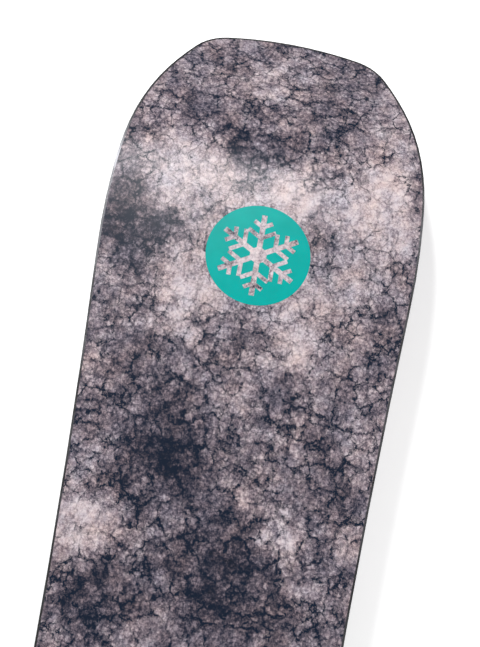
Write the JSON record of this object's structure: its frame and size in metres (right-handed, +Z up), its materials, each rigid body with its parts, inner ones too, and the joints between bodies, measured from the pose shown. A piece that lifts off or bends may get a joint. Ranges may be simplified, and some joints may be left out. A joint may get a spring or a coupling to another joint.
{
  "type": "snowboard with bindings",
  "caption": "Directional snowboard with upturned nose and tail, metal edge and die-cut base disc, and strap bindings with folding highbacks, swinging straps and ratchet buckles.",
  "frame": {"origin": "on the running base, on the board's centre line, midway between the two places where the base starts to bend up", "axes": "+X to the nose, +Z up from the base to the topsheet, +Y to the rider's heels"},
  "size_m": [1.6023, 0.3053, 0.3118],
  "materials": {
    "base_sheet": "satin sintered polyethylene, mottled print",
    "base_inlay": "satin turquoise",
    "steel_edge": "polished",
    "laminate": "glass fibre in resin",
    "core_wood": "poplar and paulownia strips",
    "spacer": "satin",
    "sidewall": "satin",
    "topsheet": "satin, mottled print",
    "zinc_steel": "zinc plated",
    "gasket": "moulded rubber",
    "nylon": "fine texture, glass filled",
    "disc_nylon": "fine texture, glass filled",
    "foam": "moulded EVA",
    "hoop_metal": "dark anodised",
    "highback_nylon": "satin",
    "accent": "satin turquoise",
    "pad_fabric": "woven over foam",
    "band_plastic": "satin",
    "buckle_metal": "brushed"
  },
  "bodies": {
    "board": {"base_sheet": "base_sheet", "base_inlay": "base_inlay", "steel_edge": "steel_edge", "lower_laminate": "laminate", "wood_core": "core_wood", "nose_spacer": "spacer", "tail_spacer": "spacer", "sidewalls": "sidewall", "upper_laminate": "laminate", "topsheet": "topsheet", "inserts": "zinc_steel", "front_base_pad": "gasket", "front_baseplate": "nylon", "front_disc": "disc_nylon", "front_disc_screws": "zinc_steel", "front_footbed": "foam", "front_toe_ramp": "foam", "front_heel_hoop": "hoop_metal", "front_hoop_screws": "zinc_steel", "front_highback_pivots": "zinc_steel", "front_strap_bolts": "zinc_steel", "rear_base_pad": "gasket", "rear_baseplate": "nylon", "rear_disc": "disc_nylon", "rear_disc_screws": "zinc_steel", "rear_footbed": "foam", "rear_toe_ramp": "foam", "rear_heel_hoop": "hoop_metal", "rear_hoop_screws": "zinc_steel", "rear_highback_pivots": "zinc_steel", "rear_strap_bolts": "zinc_steel"},
    "front_highback_assembly": {"front_highback": "highback_nylon", "front_highback_pad": "foam", "front_lean_block": "nylon"},
    "front_lean_lever_body": {"front_lean_lever": "accent"},
    "front_ankle_strap": {"front_ankle_pad": "pad_fabric", "front_ankle_arm": "band_plastic", "front_ankle_ladder": "band_plastic", "front_ankle_buckle": "buckle_metal"},
    "front_ankle_lever_body": {"front_ankle_lever": "accent"},
    "front_toe_strap": {"front_toe_pad": "pad_fabric", "front_toe_arm": "band_plastic", "front_toe_ladder": "band_plastic", "front_toe_buckle": "buckle_metal"},
    "front_toe_lever_body": {"front_toe_lever": "accent"},
    "rear_highback_assembly": {"rear_highback": "highback_nylon", "rear_highback_pad": "foam", "rear_lean_block": "nylon"},
    "rear_lean_lever_body": {"rear_lean_lever": "accent"},
    "rear_ankle_strap": {"rear_ankle_pad": "pad_fabric", "rear_ankle_arm": "band_plastic", "rear_ankle_ladder": "band_plastic", "rear_ankle_buckle": "buckle_metal"},
    "rear_ankle_lever_body": {"rear_ankle_lever": "accent"},
    "rear_toe_strap": {"rear_toe_pad": "pad_fabric", "rear_toe_arm": "band_plastic", "rear_toe_ladder": "band_plastic", "rear_toe_buckle": "buckle_metal"},
    "rear_toe_lever_body": {"rear_toe_lever": "accent"}
  },
  "joints": [
    {"name": "front_highback_fold", "type": "hinge", "parent": "board", "child": "front_highback_assembly", "pos_m": [0.22413, 0.04057, 0.0646], "axis": [0.9659, 0.2588, 0], "range_deg": [0, 22]},
    {"name": "front_lean_lever_flip", "type": "hinge", "parent": "front_highback_assembly", "child": "front_lean_lever_body", "pos_m": [0.19814, 0.13755, 0.12292], "axis": [0.9659, 0.2588, 0], "range_deg": [0, 100]},
    {"name": "front_ankle_strap_swing", "type": "hinge", "parent": "board", "child": "front_ankle_strap", "pos_m": [0.23448, 0.00193, 0.0486], "axis": [0.9659, 0.2588, 0], "range_deg": [-15, 12]},
    {"name": "front_ankle_lever_lift", "type": "hinge", "parent": "front_ankle_strap", "child": "front_ankle_lever_body", "pos_m": [0.28333, -0.03908, 0.13911], "axis": [0.2241, -0.8365, -0.5], "range_deg": [0, 60]},
    {"name": "front_toe_strap_swing", "type": "hinge", "parent": "board", "child": "front_toe_strap", "pos_m": [0.25674, -0.08114, 0.0286], "axis": [0.9659, 0.2588, 0], "range_deg": [-8, 15]},
    {"name": "front_toe_lever_lift", "type": "hinge", "parent": "front_toe_strap", "child": "front_toe_lever_body", "pos_m": [0.30227, -0.10976, 0.08706], "axis": [0.2146, -0.8008, -0.5592], "range_deg": [0, 60]},
    {"name": "rear_highback_fold", "type": "hinge", "parent": "board", "child": "rear_highback_assembly", "pos_m": [-0.32061, 0.04177, 0.0646], "axis": [0.9945, -0.1045, 0], "range_deg": [0, 22]},
    {"name": "rear_lean_lever_flip", "type": "hinge", "parent": "rear_highback_assembly", "child": "rear_lean_lever_body", "pos_m": [-0.31011, 0.14162, 0.12292], "axis": [0.9945, -0.1045, 0], "range_deg": [0, 100]},
    {"name": "rear_ankle_strap_swing", "type": "hinge", "parent": "board", "child": "rear_ankle_strap", "pos_m": [-0.32479, 0.00199, 0.0486], "axis": [0.9945, -0.1045, 0], "range_deg": [-15, 12]},
    {"name": "rear_ankle_lever_lift", "type": "hinge", "parent": "rear_ankle_strap", "child": "rear_ankle_lever_body", "pos_m": [-0.36662, -0.04616, 0.13911], "axis": [0.0905, 0.8613, 0.5], "range_deg": [0, 60]},
    {"name": "rear_toe_strap_swing", "type": "hinge", "parent": "board", "child": "rear_toe_strap", "pos_m": [-0.33378, -0.08354, 0.0286], "axis": [0.9945, -0.1045, 0], "range_deg": [-8, 15]},
    {"name": "rear_toe_lever_lift", "type": "hinge", "parent": "rear_toe_strap", "child": "rear_toe_lever_body", "pos_m": [-0.37427, -0.11893, 0.08706], "axis": [0.0867, 0.8245, 0.5592], "range_deg": [0, 60]}
  ]
}
